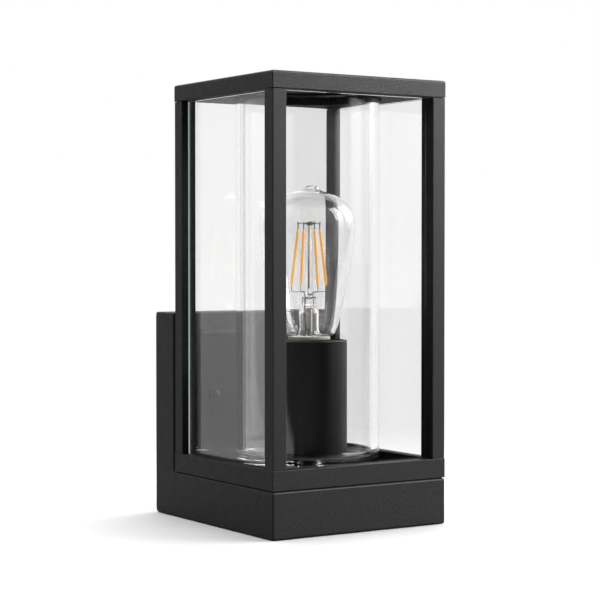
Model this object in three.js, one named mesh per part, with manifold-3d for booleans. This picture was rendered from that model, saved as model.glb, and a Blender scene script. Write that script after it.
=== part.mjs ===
// Outdoor wall lantern: an L-shaped cast housing on a wall bracket, carrying a square glazed
// cage with a thick inner glass, an E27 lampholder and a filament bulb. Millimetres, +Z up,
// front towards -Y, wall at Y = 0, origin on the wall face at the middle of the housing's arm.
import * as THREE from "three";
import { mergeVertices } from "three/addons/utils/BufferGeometryUtils.js";
import Module from "manifold-3d";

const wasm = await Module();
wasm.setup();

// Driving dimensions. Heights are measured from the underside of the housing.
const WIDTH = 140;
const CAGE_DEPTH = 131;
const HEIGHT = 304.4;
const ARM_THICKNESS = 27.6;
const ARM_TOP = 144.3;
const CAGE_TO_WALL = 29.2;
const BASE_TOP = 31.4;
const TRAY_BOTTOM = 31.9;
const TRAY_FLOOR = 37.0;
const TRAY_TOP = 45.1;
const ROOF_BOTTOM = 292.9;
const POST = 10.5;
const POST_INSET = 0.25;
const EDGE_RADIUS = 0.6;
const PANE = 3;
const PANE_SETBACK = 6.35;
const PANE_GROOVE_DEPTH = 2.8;
const PANE_GROOVE_WIDTH = 4.9;
const PANE_LIP = 0.85;
const PANE_LIP_REACH = 3.85;
const CASTING_WALL = 2.4;
const GLASS_RADIUS = 49;
const GLASS_WALL = 5.2;
const GLASS_BOTTOM = 37.9;
const GLASS_INNER_FLOOR = 46.1;
const GLASS_TOP = 299.2;
const HOLDER_RADIUS = 26.5;
const HOLDER_BOTTOM = 49.4;
const HOLDER_TOP = 126;
const BULB_CAP_TOP = 126.3;
const COLLAR_TOP = 128.4;
const BULB_TIP = 234;
const SCREW_RADIUS = 1.75;
const BORE_RADIUS = 2.1;
const GAP = 0.3;

// Positions that follow from them.
const HALF_WIDTH = WIDTH / 2;
const AXIS_Y = -(CAGE_TO_WALL + CAGE_DEPTH / 2);
const FRONT_Y = AXIS_Y - CAGE_DEPTH / 2;
const MOUNT_HEIGHT = 72;
const POST_X = HALF_WIDTH - POST_INSET - POST / 2;
const POST_DY = CAGE_DEPTH / 2 - POST_INSET - POST / 2;
const POST_INNER_X = POST_X - POST / 2;
const POST_INNER_Y = POST_DY - POST / 2;
const SIDE_PANE_END = POST_INNER_Y + PANE_GROOVE_DEPTH - GAP;
const CORNERS = [
  ["front_left", -1, -1],
  ["front_right", 1, -1],
  ["rear_left", -1, 1],
  ["rear_right", 1, 1],
];
const STUD_X = 36;
const STUD_Z = 85.2;

const finish = (color, roughness, metalness, extra = {}) =>
  new THREE.MeshStandardMaterial({ color, roughness, metalness, ...extra });
const MATERIALS = {
  powder: finish(0x26272a, 0.6, 0.1),
  holder: finish(0x161617, 0.5, 0.1),
  rubber: finish(0x101010, 0.9, 0),
  steel: finish(0xa9abad, 0.35, 0.9),
  brass: finish(0xc9a24c, 0.35, 0.9),
  nickel: finish(0xbdb9ae, 0.3, 0.95),
  plastic: finish(0x1c1c1e, 0.6, 0),
  terminal: finish(0xe9e6dc, 0.6, 0),
  cream: finish(0xd8cdb4, 0.4, 0),
  pane: finish(0xeef3f2, 0.03, 0, { transparent: true, opacity: 0.2 }),
  glass: finish(0xf2f6f5, 0.03, 0, { transparent: true, opacity: 0.25 }),
  filament: finish(0xf2b24f, 0.6, 0),
  insulator: finish(0x15161c, 0.2, 0),
  live: finish(0x6b3d22, 0.6, 0),
  neutral: finish(0x1f4f9a, 0.6, 0),
  earth: finish(0x5f8f2a, 0.6, 0),
};

// --- Solids ---------------------------------------------------------------------------------

function signedVolume(position, index) {
  const [a, b, c] = [new THREE.Vector3(), new THREE.Vector3(), new THREE.Vector3()];
  let volume = 0;
  for (let i = 0; i < index.length; i += 3) {
    a.fromBufferAttribute(position, index[i]);
    b.fromBufferAttribute(position, index[i + 1]);
    c.fromBufferAttribute(position, index[i + 2]);
    volume += a.dot(b.cross(c)) / 6;
  }
  return volume;
}

// A closed three.js geometry as a manifold solid, with its faces turned outwards.
function solid(geometry) {
  const bare = geometry.clone();
  bare.deleteAttribute("normal");
  bare.deleteAttribute("uv");
  const merged = mergeVertices(bare, 1e-4);
  const all = Array.from(merged.index.array);
  let index = [];
  for (let i = 0; i < all.length; i += 3) {
    const [p, q, r] = all.slice(i, i + 3);
    if (p !== q && q !== r && r !== p) index.push(p, q, r);
  }
  if (signedVolume(merged.attributes.position, index) < 0) index = index.reverse();
  const mesh = new wasm.Mesh({
    numProp: 3,
    vertProperties: new Float32Array(merged.attributes.position.array),
    triVerts: new Uint32Array(index),
  });
  mesh.merge();
  return new wasm.Manifold(mesh);
}

function geometryOf(body) {
  const mesh = body.getMesh();
  const geometry = new THREE.BufferGeometry();
  geometry.setAttribute("position", new THREE.BufferAttribute(mesh.vertProperties, 3));
  geometry.setIndex(new THREE.BufferAttribute(mesh.triVerts, 1));
  geometry.computeVertexNormals();
  return geometry;
}

const join = (first, ...others) => others.reduce((body, other) => body.add(other), first);
const cut = (first, ...others) => others.reduce((body, other) => body.subtract(other), first);

// A box between two corners.
function block(low, high) {
  const size = high.map((value, i) => value - low[i]);
  const geometry = new THREE.BoxGeometry(...size);
  return solid(geometry.translate(...low.map((value, i) => value + size[i] / 2)));
}

// A rectangle with rounded corners, as a shape on the drawing plane.
function roundedRectangle(width, height, radius) {
  const [w, h] = [width / 2, height / 2];
  const shape = new THREE.Shape();
  shape.moveTo(-w + radius, -h);
  shape.lineTo(w - radius, -h);
  shape.absarc(w - radius, -h + radius, radius, -Math.PI / 2, 0);
  shape.lineTo(w, h - radius);
  shape.absarc(w - radius, h - radius, radius, 0, Math.PI / 2);
  shape.lineTo(-w + radius, h);
  shape.absarc(-w + radius, h - radius, radius, Math.PI / 2, Math.PI);
  shape.lineTo(-w, -h + radius);
  shape.absarc(-w + radius, -h + radius, radius, Math.PI, Math.PI * 1.5);
  return shape;
}

// An upright prism of a shape, between two heights.
function prism(shape, bottom, top, curveSegments = 4) {
  const geometry = new THREE.ExtrudeGeometry(shape, {
    depth: top - bottom,
    bevelEnabled: false,
    curveSegments,
  });
  return solid(geometry.translate(0, 0, bottom));
}

// A round bar or hole about an upright axis.
function rod(x, y, bottom, top, radius, segments = 12) {
  const geometry = new THREE.CylinderGeometry(radius, radius, top - bottom, segments);
  geometry.rotateX(Math.PI / 2);
  return solid(geometry.translate(x, y, (bottom + top) / 2));
}

// A round bar or hole along the depth.
function crossRod(x, z, rear, front, radius, segments = 12) {
  const geometry = new THREE.CylinderGeometry(radius, radius, rear - front, segments);
  return solid(geometry.translate(x, (rear + front) / 2, z));
}

// A turned piece about the lantern's own axis: [radius, height] points.
function turned(points, segments) {
  const profile = points.map(([radius, height]) => new THREE.Vector2(radius, height));
  const geometry = new THREE.LatheGeometry(profile, segments);
  geometry.rotateX(Math.PI / 2);
  return solid(geometry.translate(0, AXIS_Y, 0));
}

// A closed ring of rectangular section about the lantern's axis.
function ring(inner, outer, bottom, top, segments = 32) {
  const section = [
    [inner, bottom],
    [outer, bottom],
    [outer, top],
    [inner, top],
    [inner, bottom],
  ];
  return turned(section, segments);
}

// A round wire through a list of points.
function wire(points, radius, steps, sides = 8) {
  const path = new THREE.CatmullRomCurve3(points.map((point) => new THREE.Vector3(...point)));
  const section = new THREE.Shape();
  for (let side = 0; side < sides; side++) {
    const angle = (side / sides) * Math.PI * 2;
    const [x, y] = [Math.cos(angle) * radius, Math.sin(angle) * radius];
    if (side === 0) section.moveTo(x, y);
    else section.lineTo(x, y);
  }
  section.closePath();
  return solid(new THREE.ExtrudeGeometry(section, { steps, extrudePath: path }));
}

// --- The object -----------------------------------------------------------------------------

const lantern = new THREE.Group();
lantern.position.z = -MOUNT_HEIGHT;

function add(name, body, material) {
  const mesh = new THREE.Mesh(geometryOf(body), MATERIALS[material]);
  mesh.name = name;
  lantern.add(mesh);
}

// The side view of the housing, as [depth, height], with rounded outer corners.
function housingProfile() {
  const [outer, inner, small] = [3, 2, 1.5];
  const rear = -1.2;
  const arm = -ARM_THICKNESS;
  const shape = new THREE.Shape();
  shape.moveTo(FRONT_Y + small, 0);
  shape.lineTo(rear - outer, 0);
  shape.absarc(rear - outer, outer, outer, -Math.PI / 2, 0);
  shape.lineTo(rear, ARM_TOP - small);
  shape.absarc(rear - small, ARM_TOP - small, small, 0, Math.PI / 2);
  shape.lineTo(arm + small, ARM_TOP);
  shape.absarc(arm + small, ARM_TOP - small, small, Math.PI / 2, Math.PI);
  shape.lineTo(arm, BASE_TOP + inner);
  shape.absarc(arm - inner, BASE_TOP + inner, inner, 0, -Math.PI / 2, true);
  shape.lineTo(FRONT_Y + small, BASE_TOP);
  shape.absarc(FRONT_Y + small, BASE_TOP - small, small, Math.PI / 2, Math.PI);
  shape.lineTo(FRONT_Y, small);
  shape.absarc(FRONT_Y + small, small, small, Math.PI, Math.PI * 1.5);
  return shape;
}

// A side-view shape drawn out across the full width between two X values.
function acrossWidth(shape, left, right, curveSegments = 4) {
  const geometry = new THREE.ExtrudeGeometry(shape, {
    depth: right - left,
    bevelEnabled: false,
    curveSegments,
  });
  const turn = new THREE.Matrix4().set(0, 0, 1, left, 1, 0, 0, 0, 0, 1, 0, 0, 0, 0, 0, 1);
  return solid(geometry.applyMatrix4(turn));
}

function addHousing() {
  const inside = HALF_WIDTH - CASTING_WALL;
  const shell = acrossWidth(housingProfile(), -HALF_WIDTH, HALF_WIDTH);
  const armCavity = block(
    [-inside, -ARM_THICKNESS + CASTING_WALL, CASTING_WALL],
    [inside, 1, ARM_TOP - CASTING_WALL],
  );
  const baseCavity = block(
    [-inside, FRONT_Y + CASTING_WALL, CASTING_WALL],
    [inside, -ARM_THICKNESS + CASTING_WALL + 1, BASE_TOP - 3],
  );
  let body = cut(shell, armCavity, baseCavity);
  for (const [, sideX, sideY] of CORNERS) {
    const [x, y] = [sideX * POST_X, AXIS_Y + sideY * POST_DY];
    const boss = rod(x, y, 1, BASE_TOP - 1, 4.6).intersect(shell);
    body = join(body, boss);
    body = cut(body, rod(x, y, -1, BASE_TOP + 1, BORE_RADIUS), rod(x, y, -1, 3.2, 3.7));
  }
  body = cut(body, rod(0, AXIS_Y, BASE_TOP - 5, BASE_TOP + 1, 5.3, 24));
  for (const side of [-1, 1]) {
    body = cut(
      body,
      crossRod(side * STUD_X, STUD_Z, -ARM_THICKNESS + 5, -ARM_THICKNESS - 1, 2.4),
      rod(side * 40, -80, -1, CASTING_WALL + 1, 2, 12),
    );
  }
  add("housing", body, "powder");
}

function addWallFixing() {
  const [plateX, plateLow, plateHigh] = [58, 22, 122];
  let plate = block([-plateX, -2, plateLow], [plateX, 0, plateHigh]);
  for (const side of [-1, 1]) {
    const slot = new THREE.Shape();
    const [length, radius] = [7, 2.6];
    slot.absarc(-length, 0, radius, Math.PI / 2, Math.PI * 1.5);
    slot.absarc(length, 0, radius, -Math.PI / 2, Math.PI / 2);
    const cutter = new THREE.ExtrudeGeometry(slot, {
      depth: 6,
      bevelEnabled: false,
      curveSegments: 8,
    });
    cutter.rotateX(Math.PI / 2).translate(side * 42, 3, MOUNT_HEIGHT);
    plate = cut(plate, solid(cutter), crossRod(side * STUD_X, STUD_Z, 1, -3, 2.3));
  }
  plate = cut(plate, crossRod(0, 102, 1, -3, 9.1, 20));
  add("wall_bracket", plate, "steel");

  const grommet = new THREE.LatheGeometry(
    [
      [3.6, -5],
      [7, -5],
      [11, -2.4],
      [11, -2.3],
      [8.7, -2.3],
      [8.7, -0.3],
      [3.6, -0.3],
      [3.6, -5],
    ].map(([radius, depth]) => new THREE.Vector2(radius, depth)),
    20,
  );
  add("cable_grommet", solid(grommet.translate(0, 0, 102)), "rubber");

  const frame = roundedRectangle(WIDTH - 2, ARM_TOP - 2, 2.5);
  frame.holes.push(roundedRectangle(WIDTH - 7, ARM_TOP - 7, 1.5));
  const seal = new THREE.ExtrudeGeometry(frame, {
    depth: 0.9,
    bevelEnabled: false,
    curveSegments: 3,
  });
  seal.rotateX(Math.PI / 2).translate(0, 0, ARM_TOP / 2);
  add("wall_gasket", solid(seal), "rubber");

  for (const [label, side] of [["left", -1], ["right", 1]]) {
    const [x, face] = [side * STUD_X, -ARM_THICKNESS];
    const stud = crossRod(x, STUD_Z, -0.3, face - 3.4, 2, 16);
    add(`mounting_stud_${label}`, stud, "steel");
    const washer = cut(
      crossRod(x, STUD_Z, face - 0.2, face - 0.9, 4.6, 16),
      crossRod(x, STUD_Z, face, face - 2, 2.3),
    );
    add(`sealing_washer_${label}`, washer, "rubber");
    const dome = [
      [2.25, 0],
      [3.5, 0],
      [3.5, 2.2],
      [3.2, 3.4],
      [2.3, 4.3],
      [1.1, 4.7],
      [0, 4.8],
      [0, 3],
      [2.25, 3],
      [2.25, 0],
    ].map(([radius, length]) => new THREE.Vector2(radius, -length));
    const nut = new THREE.LatheGeometry(dome, 14).translate(x, face - 1.1, STUD_Z);
    add(`cap_nut_${label}`, solid(nut), "powder");
  }
}

function addWiring() {
  const low = [-17, -16, 58];
  const high = [17, -2.3, 72];
  let terminal = block(low, high);
  for (const x of [-11, 0, 11]) {
    terminal = cut(terminal, rod(x, -9, 57, 64, 2, 12), crossRod(x, 67, -13, -17, 2, 12));
  }
  add("terminal_block", terminal, "terminal");

  // Both cores run side by side down the arm, under the cage and up through the nipple.
  const run = [
    [-9, 62],
    [-10.5, 48],
    [-16, 30],
    [-26, 14],
    [-50, 9],
    [AXIS_Y + 12, 9],
    [AXIS_Y + 2, 14],
    [AXIS_Y, 24],
    [AXIS_Y, 58],
    [AXIS_Y, 66],
    [AXIS_Y, 78],
  ];
  const core = (spread) => run.map(([y, z], i) => [spread[i], y, z]);
  const liveSpread = [-11, -10, -8, -5, -3, -2, -1.7, -1.7, -2, -4, -9];
  const neutralSpread = [0, 0.5, 1, 1.6, 1.7, 1.7, 1.7, 1.7, 2, 4, 9];
  add("live_wire", wire(core(liveSpread), 1, 30), "live");
  add("neutral_wire", wire(core(neutralSpread), 1, 30), "neutral");
  const earthRoute = [[11, -9, 62], [12, -10, 50], [22, -12, 44], [30, -10, 46]];
  add("earth_wire", wire(earthRoute, 1, 16), "earth");
  const lug = join(
    crossRod(34.5, 46, -5.2, -8, 3.4, 14),
    crossRod(34.5, 46, -2.3, -5.3, 1.9, 14),
  );
  add("earth_screw", lug, "brass");
}

function addTray() {
  const outline = roundedRectangle(WIDTH, CAGE_DEPTH, EDGE_RADIUS);
  let tray = prism(outline, TRAY_BOTTOM, TRAY_TOP);
  const rim = POST + POST_INSET;
  const pocket = roundedRectangle(WIDTH - 2 * rim, CAGE_DEPTH - 2 * rim, 1.5);
  tray = cut(tray, prism(pocket, TRAY_FLOOR, TRAY_TOP + 1));
  const groove = PANE_SETBACK + POST_INSET;
  const [reachX, reachY] = [HALF_WIDTH - groove, CAGE_DEPTH / 2 - groove];
  const slack = 0.35;
  const grooveFloor = TRAY_TOP - 3;
  const [endX, endY] = [POST_INNER_X, SIDE_PANE_END + slack];
  for (const side of [-1, 1]) {
    const xs = [side * (reachX + slack), side * (reachX - PANE - slack)].sort((a, b) => a - b);
    const ys = [side * (reachY + slack), side * (reachY - PANE - slack)].sort((a, b) => a - b);
    tray = cut(
      tray,
      block([xs[0], -endY, grooveFloor], [xs[1], endY, TRAY_TOP + 1]),
      block([-endX, ys[0], grooveFloor], [endX, ys[1], TRAY_TOP + 1]),
    );
  }
  for (const [, sideX, sideY] of CORNERS) {
    tray = cut(tray, rod(sideX * POST_X, sideY * POST_DY, 30, TRAY_TOP + 1, BORE_RADIUS));
  }
  tray = cut(tray, rod(0, 0, 30, TRAY_TOP, 5.3, 24));
  add("tray", tray.translate([0, AXIS_Y, 0]), "powder");

  let seal = prism(roundedRectangle(WIDTH - 2.4, CAGE_DEPTH - 2.4, 1), BASE_TOP + 0.05, TRAY_BOTTOM - 0.05);
  seal = cut(seal, prism(roundedRectangle(WIDTH - 24, CAGE_DEPTH - 24, 4), 30, 33));
  for (const [, sideX, sideY] of CORNERS) {
    seal = cut(seal, rod(sideX * POST_X, sideY * POST_DY, 30, 33, BORE_RADIUS));
  }
  add("base_gasket", seal.translate([0, AXIS_Y, 0]), "rubber");
}

// A post in plan, for the corner at +X +Y: the side pane slides into the groove in its inner
// face, in front of a thin lip.
function postSection() {
  const half = POST / 2;
  const groove = [-half + PANE_LIP, -half + PANE_LIP + PANE_GROOVE_WIDTH];
  const shape = new THREE.Shape();
  shape.moveTo(groove[1], -half);
  shape.lineTo(half - EDGE_RADIUS, -half);
  shape.absarc(half - EDGE_RADIUS, -half + EDGE_RADIUS, EDGE_RADIUS, -Math.PI / 2, 0);
  shape.lineTo(half, half - EDGE_RADIUS);
  shape.absarc(half - EDGE_RADIUS, half - EDGE_RADIUS, EDGE_RADIUS, 0, Math.PI / 2);
  shape.lineTo(-half + EDGE_RADIUS, half);
  shape.absarc(-half + EDGE_RADIUS, half - EDGE_RADIUS, EDGE_RADIUS, Math.PI / 2, Math.PI);
  shape.lineTo(-half, -half - PANE_LIP_REACH);
  shape.lineTo(groove[0], -half - PANE_LIP_REACH);
  shape.lineTo(groove[0], -half + PANE_GROOVE_DEPTH);
  shape.lineTo(groove[1], -half + PANE_GROOVE_DEPTH);
  shape.closePath();
  const channel = new THREE.Path();
  channel.absarc(0, 0, BORE_RADIUS, 0, Math.PI * 2);
  shape.holes.push(channel);
  return shape;
}

function addPosts() {
  const upright = prism(postSection(), TRAY_TOP + 0.15, ROOF_BOTTOM - 0.35);
  for (const [label, sideX, sideY] of CORNERS) {
    const [x, y] = [sideX * POST_X, AXIS_Y + sideY * POST_DY];
    let post = upright;
    if (sideX < 0) post = post.mirror([1, 0, 0]);
    if (sideY < 0) post = post.mirror([0, 1, 0]);
    add(`post_${label}`, post.translate([x, y, 0]), "powder");

    const [headBottom, head, tip] = [0.6, 3.3, 62];
    let screw = join(
      rod(x, y, headBottom, head - 0.3, 3.2, 14),
      rod(x, y, head - 0.4, tip, SCREW_RADIUS, 10),
    );
    screw = cut(screw, rod(x, y, headBottom - 1, headBottom + 1.4, 1.3, 6));
    add(`cage_screw_${label}`, screw, "steel");
  }
}

function addPanes() {
  const setback = PANE_SETBACK + POST_INSET;
  const [reachX, reachY] = [HALF_WIDTH - setback, CAGE_DEPTH / 2 - setback];
  const [endX, endY] = [POST_INNER_X - GAP, SIDE_PANE_END];
  const [low, high] = [TRAY_TOP - 2.7, ROOF_BOTTOM - 0.4];
  add("pane_left", block([-reachX, AXIS_Y - endY, low], [-reachX + PANE, AXIS_Y + endY, high]), "pane");
  add("pane_right", block([reachX - PANE, AXIS_Y - endY, low], [reachX, AXIS_Y + endY, high]), "pane");
  const frontFace = AXIS_Y - reachY;
  const rearFace = AXIS_Y + reachY;
  add("pane_front", block([-endX, frontFace, low], [endX, frontFace + PANE, high]), "pane");
  add("pane_rear", block([-endX, rearFace - PANE, low], [endX, rearFace, high]), "pane");
}

function addInnerGlass() {
  const inner = GLASS_RADIUS - GLASS_WALL;
  const [outerCorner, innerCorner, lip] = [2.5, 5, 1.2];
  const arc = (cx, cy, radius, from, to, steps) =>
    Array.from({ length: steps + 1 }, (_, i) => {
      const angle = from + ((to - from) * i) / steps;
      return [cx + radius * Math.cos(angle), cy + radius * Math.sin(angle)];
    });
  const profile = [
    [7, GLASS_BOTTOM],
    ...arc(GLASS_RADIUS - outerCorner, GLASS_BOTTOM + outerCorner, outerCorner, -Math.PI / 2, 0, 2),
    ...arc(GLASS_RADIUS - lip, GLASS_TOP - lip, lip, 0, Math.PI / 2, 2),
    ...arc(inner + lip, GLASS_TOP - lip, lip, Math.PI / 2, Math.PI, 2),
    ...arc(inner - innerCorner, GLASS_INNER_FLOOR + innerCorner, innerCorner, 0, -Math.PI / 2, 3),
    [7, GLASS_INNER_FLOOR],
    [7, GLASS_BOTTOM],
  ];
  add("inner_glass", turned(profile, 40), "glass");
  add("glass_foot_gasket", ring(30, 45, TRAY_FLOOR + 0.1, GLASS_BOTTOM - 0.1), "rubber");
  add("glass_top_gasket", ring(inner, GLASS_RADIUS + 0.6, GLASS_TOP + 0.2, HEIGHT - 3.8), "rubber");
}

function addLampholder() {
  add("holder_gasket", ring(6, HOLDER_RADIUS - 3, GLASS_INNER_FLOOR + 0.1, HOLDER_BOTTOM - 0.1, 24), "rubber");
  const wall = 1.4;
  const cover = turned(
    [
      [5.4, HOLDER_BOTTOM],
      [HOLDER_RADIUS - 0.6, HOLDER_BOTTOM],
      [HOLDER_RADIUS, HOLDER_BOTTOM + 0.6],
      [HOLDER_RADIUS, HOLDER_TOP - 0.6],
      [HOLDER_RADIUS - 0.6, HOLDER_TOP],
      [HOLDER_RADIUS - wall, HOLDER_TOP],
      [HOLDER_RADIUS - wall, HOLDER_BOTTOM + 2],
      [5.4, HOLDER_BOTTOM + 2],
      [5.4, HOLDER_BOTTOM],
    ],
    36,
  );
  add("lampholder_cover", cover, "holder");

  const [chamber, bore, floorLow, floorHigh] = [18, 14.3, 86, 91];
  const skirt = HOLDER_RADIUS - wall - GAP;
  const insert = turned(
    [
      [2, floorLow],
      [chamber, floorLow],
      [chamber, 66],
      [skirt, 66],
      [skirt, HOLDER_TOP - 0.8],
      [17.4, HOLDER_TOP - 0.8],
      [bore, HOLDER_TOP - 3.4],
      [bore, floorHigh],
      [2, floorHigh],
      [2, floorLow],
    ],
    28,
  );
  add("lampholder_insert", insert, "plastic");
  add("thread_shell", ring(13.35, 14, floorHigh + 0.3, 121.5, 28), "brass");
  const contact = join(
    rod(0, AXIS_Y, floorHigh - 1.5, floorHigh + 1, 1.7, 12),
    block([-2.5, AXIS_Y - 2.5, floorHigh + 0.3], [2.5, AXIS_Y + 2.5, floorHigh + 1]),
    block([-2.5, AXIS_Y - 2.5, floorHigh + 0.9], [-1.7, AXIS_Y + 2.5, floorHigh + 7.2]),
    block([-2.5, AXIS_Y - 2.5, floorHigh + 6.6], [5, AXIS_Y + 2.5, floorHigh + 7.4]),
  );
  add("centre_contact", contact, "brass");

  const nipple = ring(3.6, 5, 21.5, HOLDER_BOTTOM + 9, 24);
  add("threaded_nipple", nipple, "steel");
  for (const [name, bottom, top] of [
    ["nipple_nut_lower", 24.4, 28.1],
    ["nipple_nut_upper", HOLDER_BOTTOM + 2.3, HOLDER_BOTTOM + 6],
  ]) {
    const nut = cut(rod(0, AXIS_Y, bottom, top, 8.2, 6), rod(0, AXIS_Y, bottom - 1, top + 1, 5.25, 24));
    add(name, nut, "steel");
  }
}

// The outer outline of the bulb's glass from the cap to its tip, as [radius, height].
const BULB_OUTLINE = [
  [13.2, 2.4],
  [16.4, 3.1],
  [18.4, 5.8],
  [20.4, 10.8],
  [24, 25],
  [28.6, 47.5],
  [31.2, 62],
  [32.5, 74],
  [32.1, 84],
  [28.9, 92.6],
  [22, 99],
  [14, 101.7],
  [9, 103],
  [6.5, 104.3],
  [5.2, 105.7],
  [3, 107.2],
  [0, BULB_TIP - BULB_CAP_TOP],
];

// Four filaments stand on a cone about the bulb's axis, narrow at the top.
const FILAMENT = { bottom: 162.4, top: 204.4, bottomRadius: 13.6, topRadius: 8.4, turn: -6.9 };

function addBulb() {
  const outer = BULB_OUTLINE.map(([radius, height]) => [radius, height + BULB_CAP_TOP]);
  const wall = 0.9;
  const inner = BULB_OUTLINE.slice(0, -4).map(([radius, height], i, list) => {
    const [before, after] = [list[Math.max(i - 1, 0)], list[Math.min(i + 1, list.length - 1)]];
    const [dr, dh] = [after[0] - before[0], after[1] - before[1]];
    const length = Math.hypot(dr, dh);
    return [radius - (wall * dh) / length, height + BULB_CAP_TOP + (wall * dr) / length];
  });
  inner[0] = [12.2, outer[0][1]];
  const crown = [0, inner[inner.length - 1][1] + 0.5];
  const profile = [...outer, crown, ...inner.reverse(), outer[0]];
  add("bulb_glass", turned(profile, 28), "glass");

  const cap = turned(
    [
      [8.4, BULB_CAP_TOP - 22.6],
      [11.4, BULB_CAP_TOP - 22.6],
      [12.9, BULB_CAP_TOP - 20],
      [12.9, BULB_CAP_TOP - 2.6],
      [13.6, BULB_CAP_TOP],
      [12.9, BULB_CAP_TOP],
      [12.3, BULB_CAP_TOP - 2.6],
      [12.3, BULB_CAP_TOP - 19.6],
      [10.9, BULB_CAP_TOP - 21.9],
      [8.4, BULB_CAP_TOP - 21.9],
      [8.4, BULB_CAP_TOP - 22.6],
    ],
    24,
  );
  add("bulb_cap", cap, "nickel");
  add("bulb_collar", ring(12.6, 14.8, BULB_CAP_TOP + 0.1, COLLAR_TOP, 28), "cream");
  const button = turned(
    [
      [4.6, BULB_CAP_TOP - 25],
      [8, BULB_CAP_TOP - 24],
      [8, BULB_CAP_TOP - 20.6],
      [4.6, BULB_CAP_TOP - 20.6],
      [4.6, BULB_CAP_TOP - 25],
    ],
    16,
  );
  add("bulb_insulator", button, "insulator");
  const tip = turned(
    [
      [0, BULB_CAP_TOP - 26.8],
      [2.6, BULB_CAP_TOP - 26.5],
      [4.2, BULB_CAP_TOP - 25.5],
      [4.2, BULB_CAP_TOP - 23],
      [0, BULB_CAP_TOP - 23],
    ],
    12,
  );
  add("bulb_contact", tip, "nickel");

  const stemPress = 155.5;
  const stem = join(
    turned(
      [
        [5.2, 126],
        [11.6, 126],
        [8.2, 129],
        [7, 133],
        [7, 147],
        [4, 149.4],
        [0, 149.6],
        [0, 148.6],
        [3.4, 148.2],
        [5.8, 146.2],
        [5.8, 133],
        [5.2, 126],
      ],
      16,
    ),
    block([-6, AXIS_Y - 1.6, 148], [6, AXIS_Y + 1.6, stemPress]),
    rod(0, AXIS_Y, stemPress - 1, FILAMENT.top + 0.5, 2.2, 12),
  );
  add("bulb_stem", stem, "glass");
  addFilaments();
}

function filamentEnds(k) {
  const angle = THREE.MathUtils.degToRad(FILAMENT.turn + 90 * k);
  const point = (radius, height) => [
    radius * Math.cos(angle),
    AXIS_Y + radius * Math.sin(angle),
    height,
  ];
  return [point(FILAMENT.bottomRadius, FILAMENT.bottom), point(FILAMENT.topRadius, FILAMENT.top)];
}

function addFilaments() {
  for (let k = 0; k < 4; k++) {
    const [low, high] = filamentEnds(k).map((point) => new THREE.Vector3(...point));
    const direction = high.clone().sub(low);
    const bar = new THREE.CylinderGeometry(1, 1, direction.length(), 8);
    bar.applyQuaternion(
      new THREE.Quaternion().setFromUnitVectors(new THREE.Vector3(0, 1, 0), direction.normalize()),
    );
    const middle = low.clone().add(high).multiplyScalar(0.5);
    add(`led_filament_${k + 1}`, solid(bar.translate(...middle.toArray())), "filament");
  }
  const wireRadius = 0.35;
  const top = FILAMENT.top + 1.8;
  const spokes = [0, 1].map((k) => {
    const angle = THREE.MathUtils.degToRad(FILAMENT.turn + 90 * k);
    const reach = FILAMENT.topRadius;
    const spoke = new THREE.CylinderGeometry(wireRadius, wireRadius, 2 * reach, 6);
    spoke.rotateZ(Math.PI / 2).rotateZ(angle);
    return solid(spoke.translate(0, AXIS_Y, top + 1.2));
  });
  const hub = rod(0, AXIS_Y, top + 0.2, top + 2, 2.6, 12);
  add("filament_hanger", join(hub, ...spokes), "nickel");
  for (const [label, side] of [["left", -1], ["right", 1]]) {
    const z = FILAMENT.bottom - 3;
    const reach = [
      [side * 13, AXIS_Y - side * 1.6, z],
      [side * 8, AXIS_Y - side * 1, z],
      [side * 7.6, AXIS_Y - side * 0.6, z - 3],
      [side * 7.4, AXIS_Y, z - 8],
    ];
    add(`lead_wire_${label}`, wire(reach, 0.4, 10, 6), "nickel");
  }
}

function addRoof() {
  const skirt = 2.4;
  const ceiling = HEIGHT - 3.5;
  let cap = prism(roundedRectangle(WIDTH, CAGE_DEPTH, EDGE_RADIUS), ROOF_BOTTOM, HEIGHT);
  let hollow = prism(
    roundedRectangle(WIDTH - 2 * skirt, CAGE_DEPTH - 2 * skirt, 1),
    ROOF_BOTTOM - 1,
    ceiling,
  );
  for (const [, sideX, sideY] of CORNERS) {
    const boss = rod(sideX * POST_X, sideY * POST_DY, ROOF_BOTTOM + 3, HEIGHT, 4.6, 12);
    hollow = cut(hollow, boss);
  }
  cap = cut(cap, hollow);
  let plate = prism(
    roundedRectangle(WIDTH - 2 * skirt - 2 * GAP, CAGE_DEPTH - 2 * skirt - 2 * GAP, 0.8),
    ROOF_BOTTOM + 0.1,
    ROOF_BOTTOM + 2.6,
  );
  plate = cut(plate, rod(0, 0, ROOF_BOTTOM - 1, ROOF_BOTTOM + 4, GLASS_RADIUS + 1.9, 40));
  for (const [label, sideX, sideY] of CORNERS) {
    const [x, y] = [sideX * POST_X, sideY * POST_DY];
    cap = cut(
      cap,
      rod(x, y, ROOF_BOTTOM, HEIGHT + 1, BORE_RADIUS),
      rod(x, y, HEIGHT - 2, HEIGHT + 1, 3.5, 16),
    );
    plate = cut(plate, rod(x, y, ROOF_BOTTOM - 1, ROOF_BOTTOM + 4, BORE_RADIUS));
    let screw = join(
      rod(x, y, HEIGHT - 1.7, HEIGHT - 0.1, 3.1, 16),
      rod(x, y, HEIGHT - 26, HEIGHT - 1.6, SCREW_RADIUS, 10),
    );
    screw = cut(screw, rod(x, y, HEIGHT - 1.2, HEIGHT + 1, 1.2, 6));
    add(`roof_screw_${label}`, screw.translate([0, AXIS_Y, 0]), "steel");
  }
  add("roof_cap", cap.translate([0, AXIS_Y, 0]), "powder");
  add("roof_plate", plate.translate([0, AXIS_Y, 0]), "powder");
}

addHousing();
addWallFixing();
addWiring();
addTray();
addPosts();
addPanes();
addInnerGlass();
addLampholder();
addBulb();
addRoof();

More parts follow.
